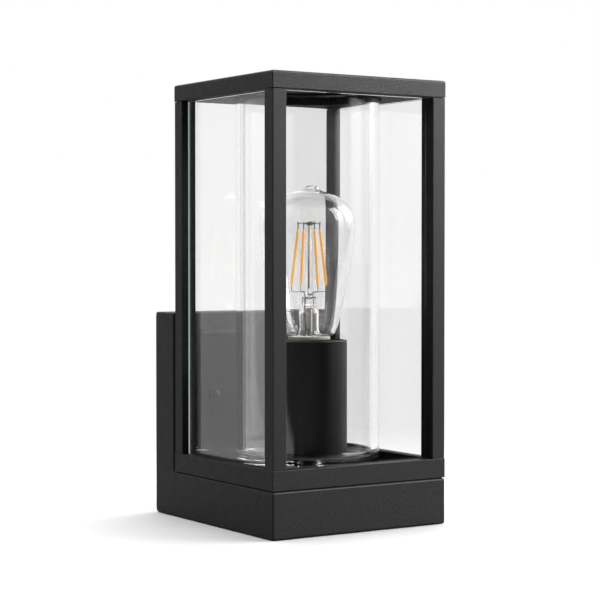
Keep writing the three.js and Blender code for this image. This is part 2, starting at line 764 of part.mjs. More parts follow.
export default lantern;
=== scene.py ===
import math

import bmesh
import bpy
from mathutils import Matrix, Vector


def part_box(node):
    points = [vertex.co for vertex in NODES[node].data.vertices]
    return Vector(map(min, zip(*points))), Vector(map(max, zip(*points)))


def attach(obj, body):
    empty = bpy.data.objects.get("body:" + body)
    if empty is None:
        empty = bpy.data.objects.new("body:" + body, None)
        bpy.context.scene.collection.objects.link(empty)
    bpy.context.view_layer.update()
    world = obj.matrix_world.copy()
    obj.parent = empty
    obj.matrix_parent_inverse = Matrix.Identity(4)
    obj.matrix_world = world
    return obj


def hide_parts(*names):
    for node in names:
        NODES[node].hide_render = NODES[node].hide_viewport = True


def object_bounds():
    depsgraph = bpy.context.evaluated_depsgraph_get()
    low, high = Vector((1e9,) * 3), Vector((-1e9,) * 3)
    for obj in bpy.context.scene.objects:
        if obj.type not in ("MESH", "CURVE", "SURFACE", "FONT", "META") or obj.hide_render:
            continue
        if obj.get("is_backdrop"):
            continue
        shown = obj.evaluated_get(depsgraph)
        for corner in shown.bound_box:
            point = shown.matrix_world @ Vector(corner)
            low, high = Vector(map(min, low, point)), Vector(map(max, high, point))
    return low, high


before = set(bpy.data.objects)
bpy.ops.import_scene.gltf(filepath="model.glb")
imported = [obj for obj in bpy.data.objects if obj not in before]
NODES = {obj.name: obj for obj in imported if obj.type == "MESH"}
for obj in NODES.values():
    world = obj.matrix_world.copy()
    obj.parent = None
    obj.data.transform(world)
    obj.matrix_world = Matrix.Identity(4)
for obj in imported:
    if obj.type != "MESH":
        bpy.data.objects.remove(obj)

cad_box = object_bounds()
MM = 0.001
CORNERS = ("front_left", "front_right", "rear_left", "rear_right")
PANES = ("left", "right", "front", "rear")


# --- Where things are ------------------------------------------------------------------------

HOUSING_LOW, HOUSING_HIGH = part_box("housing")
TRAY_LOW, TRAY_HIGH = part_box("tray")
ROOF_LOW, ROOF_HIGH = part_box("roof_cap")
GLASS_LOW, GLASS_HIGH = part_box("inner_glass")
COVER_LOW, COVER_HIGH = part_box("lampholder_cover")
CAGE_AXIS = Vector(((TRAY_LOW.x + TRAY_HIGH.x) / 2, (TRAY_LOW.y + TRAY_HIGH.y) / 2, 0))
UNDERSIDE = HOUSING_LOW.z
BASE_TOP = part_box("base_gasket")[0].z - 0.05 * MM
ARM_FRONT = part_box("sealing_washer_left")[1].y + 0.2 * MM
CAST_WALL = 2.4 * MM
SCREW_HOLE = 2.1 * MM
SCREW_BOSS = 4.6 * MM
POST = 10.5 * MM
EDGE = 0.6 * MM
PANE_LIP, LIP_REACH = 0.85 * MM, 3.85 * MM
PANE_GROOVE, GROOVE_DEPTH = 4.9 * MM, 2.8 * MM
THREAD_PITCH = 3.63 * MM
PAST = 1 * MM  # how far a cutter runs past the face that it opens


def height(above_underside):
    """The Z of a height in millimetres above the housing's underside."""
    return UNDERSIDE + above_underside * MM


def profile_mm(*points):
    """A turned profile from (radius, height above the underside) in millimetres."""
    return [(radius * MM, height(level)) for radius, level in points]


# --- Mesh tools ------------------------------------------------------------------------------


def mesh_piece(name, points, faces):
    mesh = bpy.data.meshes.new(name)
    mesh.from_pydata([tuple(p) for p in points], [], faces)
    mesh.update()
    body = bmesh.new()
    body.from_mesh(mesh)
    bmesh.ops.remove_doubles(body, verts=body.verts, dist=1e-7)
    bmesh.ops.recalc_face_normals(body, faces=body.faces)
    body.to_mesh(mesh)
    body.free()
    piece = bpy.data.objects.new(name, mesh)
    bpy.context.scene.collection.objects.link(piece)
    return piece


def arc(centre, radius, start, end, steps=8):
    """(point, normal out of the outline) pairs along an arc; a clockwise arc is a hollow one."""
    turn = 1 if end > start else -1
    pairs = []
    for i in range(steps + 1):
        angle = math.radians(start + (end - start) * i / steps)
        normal = Vector((math.cos(angle), math.sin(angle)))
        pairs.append((Vector(centre) + radius * normal, normal * turn))
    return pairs


def rounded_rectangle(low, high, radius, steps=8):
    """An outline with rounded corners between two corners, anticlockwise."""
    (left, bottom), (right, top) = low, high
    r = radius
    corners = (
        (right - r, bottom + r, -90),
        (right - r, top - r, 0),
        (left + r, top - r, 90),
        (left + r, bottom + r, 180),
    )
    return [pair for x, y, a in corners for pair in arc((x, y), r, a, a + 90, steps)]


def circle(centre, radius, steps):
    return arc(centre, radius, 0, 360, steps)[:-1]


def upright(u, v, w):
    return (u, v, w)


def along_width(u, v, w):
    """The outline lies in the side view (Y, Z) and is drawn out along X."""
    return (w, u, v)


def along_depth(u, v, w):
    """The outline lies in the front view (X, Z) and is drawn out towards -Y."""
    return (u, -w, v)


def loft(name, rings):
    """A closed skin over rings that have the same number of points."""
    points, faces, count = [point for ring in rings for point in ring], [], len(rings[0])
    for ring in range(len(rings) - 1):
        for i in range(count):
            j = (i + 1) % count
            a, b = ring * count, (ring + 1) * count
            faces.append((a + i, a + j, b + j, b + i))
    faces.append(tuple(reversed(range(count))))
    faces.append(tuple(range((len(rings) - 1) * count, len(rings) * count)))
    return mesh_piece(name, points, faces)


def soft_block(name, low, high, corner, bottom_edge, top_edge, steps=8):
    """An upright block, each of its corners, bottom edge and top edge with its own rounding."""
    turns = [math.pi / 2 * i / steps for i in range(steps + 1)]
    profile = [(bottom_edge, t, low.z, 1) for t in turns]
    profile += [(top_edge, t, high.z, -1) for t in reversed(turns)]
    rings = []
    for edge, t, level, way in profile:
        inset = Vector((1, 1)) * edge * (1 - math.sin(t))
        radius = max(corner - inset.x, 0.05 * MM)
        outline = rounded_rectangle(low.xy + inset, high.xy - inset, radius, steps)
        z = level + way * edge * (1 - math.cos(t))
        rings.append([(point.x, point.y, z) for point, _ in outline])
    return loft(name, rings)


def slab(name, outline, low, high, edge=0, place=upright, steps=4):
    """An outline drawn out between two levels, its two rims rounded by a radius."""
    rims = [(0, 0)]
    if edge:
        turns = [math.pi / 2 * i / steps for i in range(steps + 1)]
        rims = [(edge * (1 - math.sin(t)), edge * (1 - math.cos(t))) for t in turns]
    levels = [(inset, low + rise) for inset, rise in rims]
    levels += [(inset, high - rise) for inset, rise in reversed(rims)]
    rings = []
    for inset, level in levels:
        flats = [point - normal * inset for point, normal in outline]
        rings.append([place(flat.x, flat.y, level) for flat in flats])
    return loft(name, rings)


def turned(name, profile, segments=128, centre=CAGE_AXIS, place=upright, wave=None):
    """A profile of (radius, height) in metres turned about the line that place stands it on."""
    closed = profile[0] == profile[-1]
    rings = profile[:-1] if closed else profile
    points, faces, starts = [], [], []
    for radius, level in rings:
        starts.append((len(points), radius > 0))
        for i in range(segments if radius > 0 else 1):
            angle = 2 * math.pi * i / segments
            r = radius + (wave(angle, level) if wave and radius > 0 else 0)
            points.append(place(r * math.cos(angle), r * math.sin(angle), level))
    pairs = list(zip(starts, starts[1:]))
    if closed:
        pairs.append((starts[-1], starts[0]))
    for (a, a_ring), (b, b_ring) in pairs:
        for i in range(segments):
            j = (i + 1) % segments
            if a_ring and b_ring:
                faces.append((a + i, a + j, b + j, b + i))
            elif a_ring:
                faces.append((a + i, a + j, b))
            elif b_ring:
                faces.append((a, b + j, b + i))
    piece = mesh_piece(name, points, faces)
    piece.data.transform(Matrix.Translation(centre))
    return piece


def fillet(centre, radius, start, end, steps=6):
    """(radius, height) points of a rounded corner in a turned profile."""
    return [tuple(point) for point, _ in arc(centre, radius, start, end, steps)]


def carve(piece, cutter, operation="DIFFERENCE"):
    """Cuts a piece with another, or joins it on, and takes the other away."""
    modifier = piece.modifiers.new("carve", "BOOLEAN")
    modifier.operation = operation
    modifier.solver = "EXACT"
    modifier.object = cutter
    graph = bpy.context.evaluated_depsgraph_get()
    mesh = bpy.data.meshes.new_from_object(piece.evaluated_get(graph))
    piece.modifiers.clear()
    piece.data = mesh
    bpy.data.objects.remove(cutter)
    return piece


def joined(name, pieces):
    """Several closed meshes as one piece."""
    body = bmesh.new()
    for piece in pieces:
        body.from_mesh(piece.data)
        bpy.data.objects.remove(piece)
    mesh = bpy.data.meshes.new(name)
    body.to_mesh(mesh)
    body.free()
    piece = bpy.data.objects.new(name, mesh)
    bpy.context.scene.collection.objects.link(piece)
    return piece


def smooth_path(points, per_span=8):
    """A uniform Catmull-Rom curve through points."""
    ends = [2 * points[0] - points[1], *points, 2 * points[-1] - points[-2]]
    curve = []
    for a, b, c, d in zip(ends, ends[1:], ends[2:], ends[3:]):
        for i in range(per_span):
            t = i / per_span
            curve.append(
                0.5 * (2 * b + (c - a) * t + (2 * a - 5 * b + 4 * c - d) * t * t
                       + (3 * b - a - 3 * c + d) * t ** 3)
            )
    return curve + [points[-1]]


def tube(name, path, radius, sides=12, taper=None):
    """A round bar along a path, with its ends closed flat."""
    points, faces = [], []
    side = Vector((0, 0, 1)).cross(path[1] - path[0])
    if side.length < 1e-9:
        side = Vector((1, 0, 0))
    for k, point in enumerate(path):
        ahead = path[min(k + 1, len(path) - 1)] - path[max(k - 1, 0)]
        ahead.normalize()
        side = (side - ahead * side.dot(ahead)).normalized()
        up = ahead.cross(side)
        r = radius * (taper(k / (len(path) - 1)) if taper else 1)
        for i in range(sides):
            angle = 2 * math.pi * i / sides
            points.append(point + (side * math.cos(angle) + up * math.sin(angle)) * r)
    for k in range(len(path) - 1):
        for i in range(sides):
            j = (i + 1) % sides
            faces.append((k * sides + i, k * sides + j, (k + 1) * sides + j, (k + 1) * sides + i))
    last = len(points)
    points += [path[0], path[-1]]
    for i in range(sides):
        j = (i + 1) % sides
        faces.append((j, i, last))
        faces.append((last - sides + i, last - sides + j, last + 1))
    return mesh_piece(name, points, faces)


def smooth_shading(piece, angle=32):
    for polygon in piece.data.polygons:
        polygon.use_smooth = True
    piece.data.set_sharp_from_angle(angle=math.radians(angle))


def dress(piece, body, material, stands_for=(), angle=32, weighted=True):
    """Gives a piece its finish and the body it rides on, and hides the CAD nodes it stands for."""
    smooth_shading(piece, angle)
    piece.data.materials.clear()
    piece.data.materials.append(material)
    if weighted:
        modifier = piece.modifiers.new("normals", "WEIGHTED_NORMAL")
        modifier.keep_sharp = True
        modifier.weight = 100
    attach(piece, body)
    if stands_for:
        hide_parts(*stands_for)
    return piece


# --- Materials -------------------------------------------------------------------------------


def ramp(tree, source, start, end, low=0.0, high=1.0):
    """A smooth change from low to high as source goes from start to end."""
    node = tree.nodes.new("ShaderNodeMapRange")
    node.interpolation_type = "SMOOTHSTEP"
    node.inputs["From Min"].default_value = start
    node.inputs["From Max"].default_value = end
    node.inputs["To Min"].default_value = low
    node.inputs["To Max"].default_value = high
    tree.links.new(source, node.inputs["Value"])
    return node.outputs["Result"]


def combine(tree, operation, first, second):
    """Two values, each a number or a socket, put together by a maths node."""
    node = tree.nodes.new("ShaderNodeMath")
    node.operation = operation
    for socket, value in zip(node.inputs, (first, second)):
        if isinstance(value, (int, float)):
            socket.default_value = value
        else:
            tree.links.new(value, socket)
    return node.outputs[0]


def bounced_off(tree):
    """One for a ray that comes off a surface, none for one that comes through glass."""
    path = tree.nodes.new("ShaderNodeLightPath").outputs
    either = combine(tree, "MAXIMUM", path["Is Diffuse Ray"], path["Is Glossy Ray"])
    through = combine(tree, "SUBTRACT", 1.0, path["Is Transmission Ray"])
    return combine(tree, "MULTIPLY", either, through)


NOISE_LOW, NOISE_HIGH = 0.3, 0.7
CLEARED = (0.94, 0.95, 0.95, 1)
GLASS_IOR = 1.5


class Shader:
    """A Principled material and the nodes that vary it over the surface."""

    def __init__(self, name, colour, roughness, metallic=0.0):
        self.material = bpy.data.materials.new(name)
        self.material.use_nodes = True
        self.tree = self.material.node_tree
        self.nodes, self.links = self.tree.nodes, self.tree.links
        self.surface = next(n for n in self.nodes if n.type == "BSDF_PRINCIPLED")
        self.output = next(n for n in self.nodes if n.type == "OUTPUT_MATERIAL")
        self.set("Base Color", (*colour, 1))
        self.set("Roughness", roughness)
        self.set("Metallic", metallic)
        self.place = self.nodes.new("ShaderNodeTexCoord").outputs["Object"]

    def set(self, socket, value):
        self.surface.inputs[socket].default_value = value

    def noise(self, scale, detail=3, roughness=0.55, stretch=None):
        source = self.place
        if stretch:
            mapping = self.nodes.new("ShaderNodeMapping")
            mapping.inputs["Scale"].default_value = stretch
            self.links.new(self.place, mapping.inputs["Vector"])
            source = mapping.outputs["Vector"]
        texture = self.nodes.new("ShaderNodeTexNoise")
        texture.inputs["Scale"].default_value = scale
        texture.inputs["Detail"].default_value = detail
        texture.inputs["Roughness"].default_value = roughness
        self.links.new(source, texture.inputs["Vector"])
        return texture.outputs["Fac"]

    def range(self, source, low, high):
        node = self.nodes.new("ShaderNodeMapRange")
        node.inputs["From Min"].default_value = NOISE_LOW
        node.inputs["From Max"].default_value = NOISE_HIGH
        node.inputs["To Min"].default_value = low
        node.inputs["To Max"].default_value = high
        self.links.new(source, node.inputs["Value"])
        return node.outputs["Result"]

    def vary_roughness(self, source, low, high):
        self.links.new(self.range(source, low, high), self.surface.inputs["Roughness"])

    def vary_colour(self, source, first, second):
        blend = self.nodes.new("ShaderNodeValToRGB")
        stops = ((NOISE_LOW, first), (NOISE_HIGH, second))
        for element, (position, colour) in zip(blend.color_ramp.elements, stops):
            element.position = position
            element.color = (*colour, 1)
        self.links.new(source, blend.inputs["Fac"])
        self.links.new(blend.outputs["Color"], self.surface.inputs["Base Color"])

    def bump(self, source, distance, strength=1.0):
        node = self.nodes.new("ShaderNodeBump")
        node.inputs["Distance"].default_value = distance
        node.inputs["Strength"].default_value = strength
        self.links.new(source, node.inputs["Height"])
        previous = self.surface.inputs["Normal"]
        if previous.is_linked:
            self.links.new(previous.links[0].from_socket, node.inputs["Normal"])
        self.links.new(node.outputs["Normal"], previous)

    def let_light_through(self):
        """Lamps and soft light reach what stands behind this glass."""
        tree, nodes, links = self.tree, self.nodes, self.links
        path = nodes.new("ShaderNodeLightPath").outputs
        soft = combine(tree, "SUBTRACT", bounced_off(tree), path["Is Singular Ray"])
        either = combine(tree, "MAXIMUM", soft, path["Is Shadow Ray"])
        clear = nodes.new("ShaderNodeBsdfTransparent")
        clear.inputs["Color"].default_value = CLEARED
        mix = nodes.new("ShaderNodeMixShader")
        links.new(either, mix.inputs["Fac"])
        links.new(self.surface.outputs["BSDF"], mix.inputs[1])
        links.new(clear.outputs["BSDF"], mix.inputs[2])
        links.new(mix.outputs["Shader"], self.output.inputs["Surface"])


def coated_metal(name, dark, light, rough_low, rough_high, grain):
    """Fine-textured powder coat: a low pebbled bump with faint mottling."""
    shader = Shader(name, dark, rough_low)
    shader.vary_colour(shader.noise(420, 4), dark, light)
    shader.vary_roughness(shader.noise(150, 3), rough_low, rough_high)
    shader.bump(shader.noise(1050, 2, 0.6), grain)
    shader.bump(shader.noise(90, 2), grain * 0.3)
    shader.set("Specular IOR Level", 0.35)
    return shader.material


def clear_glass(name, ripple=0):
    """Colourless glass, its surface gently rippled where it is turned or cast."""
    shader = Shader(name, (1, 1, 1), 0.0)
    shader.set("Transmission Weight", 1.0)
    shader.set("IOR", GLASS_IOR)
    if ripple:
        shader.bump(shader.noise(38, 1, stretch=(1, 1, 0.35)), ripple)
    shader.let_light_through()
    return shader.material


def plain_metal(name, first, second, rough_low, rough_high, stretch=(1, 1, 1)):
    shader = Shader(name, first, rough_low, 1.0)
    shader.vary_colour(shader.noise(260, 3, stretch=stretch), first, second)
    shader.vary_roughness(shader.noise(520, 3, stretch=stretch), rough_low, rough_high)
    shader.bump(shader.noise(900, 2, stretch=stretch), 0.00002)
    return shader.material


def moulded(name, first, second, rough_low, rough_high, grain=0.00003):
    shader = Shader(name, first, rough_low)
    shader.vary_colour(shader.noise(180, 3), first, second)
    shader.vary_roughness(shader.noise(320, 3), rough_low, rough_high)
    if grain:
        shader.bump(shader.noise(1300, 2), grain)
    return shader.material


def ground_edge_painted_glow():
    """The ground end of a pane; its brightness is a painted glow standing in for the light that the pane
    carries to it.
    """
    shader = Shader("ground_edge_painted_glow", (0.7, 0.8, 0.76), 0.5)
    shader.vary_colour(shader.noise(700, 3), (0.62, 0.72, 0.68), (0.78, 0.86, 0.82))
    shader.vary_roughness(shader.noise(900, 2), 0.45, 0.6)
    # The emission is painted light: a glow on the ground edge, which is no lamp.
    shader.set("Emission Color", (0.9, 1.0, 0.96, 1))
    shader.set("Emission Strength", 0.35)
    return shader.material


POWDER = coated_metal("powder_coat", (0.009, 0.009, 0.0095), (0.013, 0.013, 0.0135), 0.46, 0.54, 0.00022)
HOLDER = moulded("holder_coat", (0.002, 0.002, 0.002), (0.003, 0.003, 0.003), 0.29, 0.32, 0)
NUT = coated_metal("nut_coat", (0.02, 0.02, 0.021), (0.026, 0.026, 0.027), 0.3, 0.36, 0.00001)
RUBBER = moulded("black_rubber", (0.006, 0.006, 0.006), (0.01, 0.01, 0.01), 0.7, 0.85)
PLASTIC = moulded("holder_plastic", (0.012, 0.012, 0.013), (0.018, 0.018, 0.019), 0.45, 0.6)
TERMINAL = moulded("terminal_plastic", (0.75, 0.73, 0.68), (0.8, 0.78, 0.73), 0.4, 0.5)
BROWN = moulded("wire_brown", (0.14, 0.045, 0.015), (0.18, 0.06, 0.02), 0.4, 0.5)
BLUE = moulded("wire_blue", (0.02, 0.07, 0.3), (0.03, 0.1, 0.38), 0.4, 0.5)
GREEN = moulded("wire_green", (0.11, 0.28, 0.03), (0.45, 0.42, 0.04), 0.4, 0.5)
ZINC = plain_metal("bracket_steel", (0.55, 0.56, 0.57), (0.66, 0.67, 0.68), 0.3, 0.42)
SCREW = plain_metal("screw_steel", (0.05, 0.05, 0.053), (0.08, 0.08, 0.084), 0.38, 0.48)
BRASS = plain_metal("contact_brass", (0.72, 0.5, 0.2), (0.8, 0.58, 0.26), 0.2, 0.26)
NICKEL = plain_metal("cap_nickel", (0.58, 0.55, 0.48), (0.72, 0.69, 0.61), 0.18, 0.26)
LEAD = plain_metal("lead_metal", (0.3, 0.28, 0.26), (0.42, 0.4, 0.37), 0.29, 0.4)
VITRITE = moulded("cap_insulator", (0.008, 0.008, 0.012), (0.014, 0.014, 0.018), 0.1, 0.16)
COPPER = plain_metal("dumet_copper", (0.7, 0.3, 0.15), (0.82, 0.42, 0.24), 0.29, 0.4)
PANE = clear_glass("pane_glass")
GROUND_EDGE_PAINTED_GLOW = ground_edge_painted_glow()
BLACK_PANE_END = moulded("pane_end_black", (0.006, 0.006, 0.006), (0.01, 0.01, 0.01), 0.7, 0.85)
THICK = clear_glass("thick_glass", 0.000004)
ENVELOPE = clear_glass("bulb_envelope")


def phosphor_painted_glow():
    """The amber silicone of the filaments, lumpy over the chips inside, with a faint painted glow."""
    shader = Shader("filament_phosphor", (0.9, 0.42, 0.08), 0.4)
    shader.vary_colour(shader.noise(900, 2), (0.92, 0.5, 0.12), (0.98, 0.6, 0.2))
    # The emission is a faint painted glow that brightens the amber filaments.
    shader.set("Emission Color", (1.0, 0.5, 0.12, 1))
    shader.set("Emission Strength", 0.65)
    shader.set("Subsurface Weight", 0.3)
    shader.set("Subsurface Radius", (0.0012, 0.0006, 0.0002))
    shader.set("Subsurface Scale", 1.0)
    shader.vary_roughness(shader.noise(700, 2), 0.35, 0.5)
    shader.bump(shader.noise(800, 2), 0.0001)
    return shader.material


def cream_ring():
    """The pale glittering ring that the bulb's glass stands in."""
    shader = Shader("collar_ceramic", (0.62, 0.55, 0.4), 0.3)
    shader.vary_colour(shader.noise(1400, 3), (0.7, 0.62, 0.46), (0.92, 0.86, 0.72))
    shader.vary_roughness(shader.noise(800, 2), 0.15, 0.5)
    shader.bump(shader.noise(1500, 2), 0.00015)
    return shader.material


PHOSPHOR_PAINTED_GLOW = phosphor_painted_glow()
CREAM = cream_ring()


# --- Housing ---------------------------------------------------------------------------------


def post_centres():
    """Each post's name and the middle of its square, without the lip that holds the pane."""
    for corner in CORNERS:
        low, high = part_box("post_" + corner)
        middle = (low + high) / 2
        rear = corner.startswith("rear")
        middle.y = high.y - POST / 2 if rear else low.y + POST / 2
        yield corner, middle


def drill(x, y, low, high, radius, steps=32):
    return slab("drill", circle((x, y), radius, steps), low, high)


def bore_at_posts(piece, low, high, radius, steps=32):
    """The same upright hole in a piece at each of the four posts."""
    for _, centre in post_centres():
        carve(piece, drill(centre.x, centre.y, low, high, radius, steps))


def make_housing():
    front, rear = HOUSING_LOW.y, HOUSING_HIGH.y
    low, top = HOUSING_LOW.z, HOUSING_HIGH.z
    outer, inner, small = 3 * MM, 2 * MM, 1.5 * MM
    outline = [
        *arc((front + small, low + small), small, 180, 270),
        *arc((rear - outer, low + outer), outer, 270, 360),
        *arc((rear - small, top - small), small, 0, 90),
        *arc((ARM_FRONT + small, top - small), small, 90, 180),
        *arc((ARM_FRONT - inner, BASE_TOP + inner), inner, 0, -90),
        *arc((front + small, BASE_TOP - small), small, 90, 180),
    ]
    left, right = HOUSING_LOW.x, HOUSING_HIGH.x
    casting = slab("housing_casting", outline, left, right, 1.2 * MM, along_width)
    inside = right - CAST_WALL
    cavity = slab(
        "cavity",
        rounded_rectangle(
            (-inside, low + CAST_WALL), (inside, top - CAST_WALL), 1.5 * MM, 4
        ),
        -rear - 2 * MM,
        -ARM_FRONT - CAST_WALL,
        place=along_depth,
    )
    carve(casting, cavity)
    under = slab(
        "under_cage",
        rounded_rectangle(
            (-inside, low + CAST_WALL), (inside, BASE_TOP - 3 * MM), 1 * MM, 4
        ),
        -ARM_FRONT - CAST_WALL - PAST,
        -front - CAST_WALL,
        place=along_depth,
    )
    bore_at_posts(under, low - PAST, top, SCREW_BOSS)
    carve(casting, under)
    head_room, head_depth = 3.7 * MM, 3.2 * MM
    bore_at_posts(casting, low - PAST, BASE_TOP + PAST, SCREW_HOLE)
    bore_at_posts(casting, low - PAST, low + head_depth, head_room)
    drain_x, drain_y, drain = 40 * MM, -80 * MM, 2 * MM
    for side in (-1, 1):
        carve(casting, drill(side * drain_x, drain_y, low - PAST, low + 4 * MM, drain))
    return dress(casting, "lantern", POWDER, ["housing"])


def make_tray():
    tray = soft_block("tray_pan", TRAY_LOW, TRAY_HIGH, EDGE, 0.4 * MM, 0.4 * MM, 5)
    middles = [middle for _, middle in post_centres()]
    inner_x = middles[1].x - POST / 2
    front_y, rear_y = middles[0].y + POST / 2, middles[2].y - POST / 2
    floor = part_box("glass_foot_gasket")[0].z - 0.1 * MM
    pocket = rounded_rectangle((-inner_x, front_y), (inner_x, rear_y), 1.5 * MM)
    carve(tray, slab("pocket", pocket, floor, TRAY_HIGH.z + 5 * MM))
    slack, seat = 0.35 * MM, 0.3 * MM
    room = Vector((slack, slack))
    for side in PANES:
        low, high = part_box("pane_" + side)
        start, end = low.xy - room, high.xy + room
        if side in ("front", "rear"):
            start, end = (-inner_x, low.y - slack), (inner_x, high.y + slack)
        rebate = rounded_rectangle(start, end, 0.1 * MM, 1)
        carve(tray, slab("rebate", rebate, low.z - seat, TRAY_HIGH.z + 5 * MM))
    bore_at_posts(tray, TRAY_LOW.z - PAST, TRAY_HIGH.z + PAST, SCREW_HOLE)
    nipple_hole = 5.3 * MM
    carve(tray, drill(0, CAGE_AXIS.y, TRAY_LOW.z - PAST, TRAY_HIGH.z, nipple_hole, 48))
    return dress(tray, "lantern", POWDER, ["tray"])


def post_outline(middle, side_x, side_y):
    """A post in plan: the side pane slides into its groove, in front of a thin lip."""
    half, soft = POST / 2, 0.2 * MM
    near, far = -half + PANE_LIP, -half + PANE_LIP + PANE_GROOVE
    tip, bed = -half - LIP_REACH, -half + GROOVE_DEPTH
    outline = [
        *arc((far + soft, -half + soft), soft, 180, 270, 3),
        *arc((half - EDGE, -half + EDGE), EDGE, -90, 0),
        *arc((half - EDGE, half - EDGE), EDGE, 0, 90),
        *arc((-half + EDGE, half - EDGE), EDGE, 90, 180),
        *arc((-half + soft, tip + soft), soft, 180, 270, 3),
        *arc((near - soft, tip + soft), soft, 270, 360, 3),
        (Vector((near, bed)), Vector((1, -1))),
        (Vector((far, bed)), Vector((-1, -1))),
    ]
    mirror = Vector((side_x, side_y))
    return [(middle.xy + point * mirror, normal * mirror) for point, normal in outline]


def make_posts():
    for corner, middle in post_centres():
        low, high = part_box("post_" + corner)
        side_x = 1 if corner.endswith("right") else -1
        side_y = 1 if corner.startswith("rear") else -1
        outline = post_outline(middle, side_x, side_y)
        post = slab("corner_post_" + corner, outline, low.z, high.z, 0.12 * MM)
        carve(post, drill(middle.x, middle.y, low.z - PAST, high.z + PAST, SCREW_HOLE))
        dress(post, "lantern", POWDER, ["post_" + corner])


def make_panes():
    """The side panes end in ground edges with a painted glow, the front and rear ones in plain black end
    faces.
    """
    for side in PANES:
        low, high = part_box("pane_" + side)
        outline = rounded_rectangle(low.xy, high.xy, 0.25 * MM, 3)
        pane = slab("glass_pane_" + side, outline, low.z, high.z, 0.25 * MM, steps=2)
        dress(pane, "lantern", PANE, ["pane_" + side])
        across = side in ("front", "rear")
        # Side panes' end faces get the ground edge's painted glow; front and rear panes' end faces are
        # plain black.
        pane.data.materials.append(BLACK_PANE_END if across else GROUND_EDGE_PAINTED_GLOW)
        for polygon in pane.data.polygons:
            if abs(polygon.normal.x if across else polygon.normal.y) > 0.9:
                polygon.material_index = 1


def make_roof():
    cap = soft_block("roof_shell", ROOF_LOW, ROOF_HIGH, EDGE, 0.35 * MM, 1.7 * MM)
    skirt, top = 2.4 * MM, 3.5 * MM
    inset = Vector((skirt, skirt))
    hollow = slab(
        "hollow",
        rounded_rectangle(ROOF_LOW.xy + inset, ROOF_HIGH.xy - inset, 1 * MM),
        ROOF_LOW.z - 2 * MM,
        ROOF_HIGH.z - top,
    )
    bore_at_posts(hollow, ROOF_LOW.z + 3 * MM, ROOF_HIGH.z, SCREW_BOSS)
    carve(cap, hollow)
    low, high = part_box("roof_plate")
    plate = slab("roof_soffit", rounded_rectangle(low.xy, high.xy, 0.8 * MM), low.z, high.z, 0.2 * MM)
    opening = GLASS_HIGH.x + 1.9 * MM
    carve(plate, drill(0, CAGE_AXIS.y, low.z - PAST, high.z + PAST, opening, 144))
    sink, sink_depth = 3.5 * MM, 2 * MM
    bore_at_posts(cap, ROOF_LOW.z, ROOF_HIGH.z + PAST, SCREW_HOLE)
    bore_at_posts(cap, ROOF_HIGH.z - sink_depth, ROOF_HIGH.z + PAST, sink, 40)
    bore_at_posts(plate, low.z - PAST, high.z + PAST, SCREW_HOLE)
    dress(cap, "roof", POWDER, ["roof_cap"])
    dress(plate, "roof", POWDER, ["roof_plate"])


def cap_screw(name, node, body, head_up):
    """A round-headed screw with a hexagon socket, its threads as fine ridges."""
    low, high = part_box(node)
    centre = Vector(((low.x + high.x) / 2, (low.y + high.y) / 2, 0))
    head, shank, pitch = 3.1 * MM, 1.75 * MM, 0.7 * MM
    deep, edge = 1.6 * MM, 0.35 * MM
    base, way = (high.z, -1) if head_up else (low.z, 1)
    profile = [(0, base), (head - edge, base)]
    profile += [(head, base + way * edge), (head, base + way * deep), (shank, base + way * deep)]
    end = low.z if head_up else high.z
    count = int((abs(end - base) - deep - 1 * MM) / pitch)
    for i in range(count):
        level = base + way * (deep + 0.5 * MM + pitch * i)
        profile += [(shank, level), (shank - 0.25 * MM, level + way * pitch / 2)]
    profile += [(shank - 0.4 * MM, end), (0, end)]
    screw = turned(name, profile, 28, centre)
    reach = 1.2 * MM
    socket = slab(
        "socket",
        circle(centre.xy, reach, 6),
        min(base, base + way * reach) - (0 if head_up else PAST),
        max(base, base + way * reach) + (PAST if head_up else 0),
    )
    carve(screw, socket)
    return dress(screw, body, SCREW, [node], angle=50)


def make_screws():
    for corner in CORNERS:
        cap_screw("roof_bolt_" + corner, "roof_screw_" + corner, "roof", True)
        cap_screw("cage_bolt_" + corner, "cage_screw_" + corner, "lantern", False)


def out_from(rear):
    """Stands a turned profile on a line along Y, from a rear face towards the front."""
    return lambda u, v, w: (u, rear - w, v)


def make_cap_nuts():
    bore, rim, washer_bore, soft = 2.25 * MM, 1.7 * MM, 2.3 * MM, 0.1 * MM
    for side in ("left", "right"):
        low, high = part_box("cap_nut_" + side)
        centre = Vector(((low.x + high.x) / 2, 0, (low.z + high.z) / 2))
        radius, length = (high.x - low.x) / 2, high.y - low.y
        flare = 0.3 * MM
        dome_base, dome_radius = 1.9 * MM, radius * 0.97
        dome = length - dome_base
        profile = [(bore, 0), (radius - flare, 0), (radius, flare), (radius, rim)]
        profile += [
            (dome_radius * math.cos(t), dome_base + dome * math.sin(t))
            for t in [math.pi / 2 * i / 10 for i in range(10)]
        ]
        profile += [(0, length), (0, 3 * MM), (bore, 3 * MM), (bore, 0)]
        nut = turned("dome_nut_" + side, profile, 48, centre, out_from(high.y))
        dress(nut, "lantern", NUT, ["cap_nut_" + side])
        low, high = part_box("sealing_washer_" + side)
        outer, thick = (high.x - low.x) / 2, high.y - low.y
        ring = [(washer_bore, 0), (outer - soft, 0), (outer, soft), (outer, thick - soft)]
        ring += [(outer - soft, thick), (washer_bore, thick), (washer_bore, 0)]
        washer = turned("nut_washer_" + side, ring, 48, centre, out_from(high.y))
        dress(washer, "lantern", RUBBER, ["sealing_washer_" + side])


# --- Inner glass and lampholder --------------------------------------------------------------


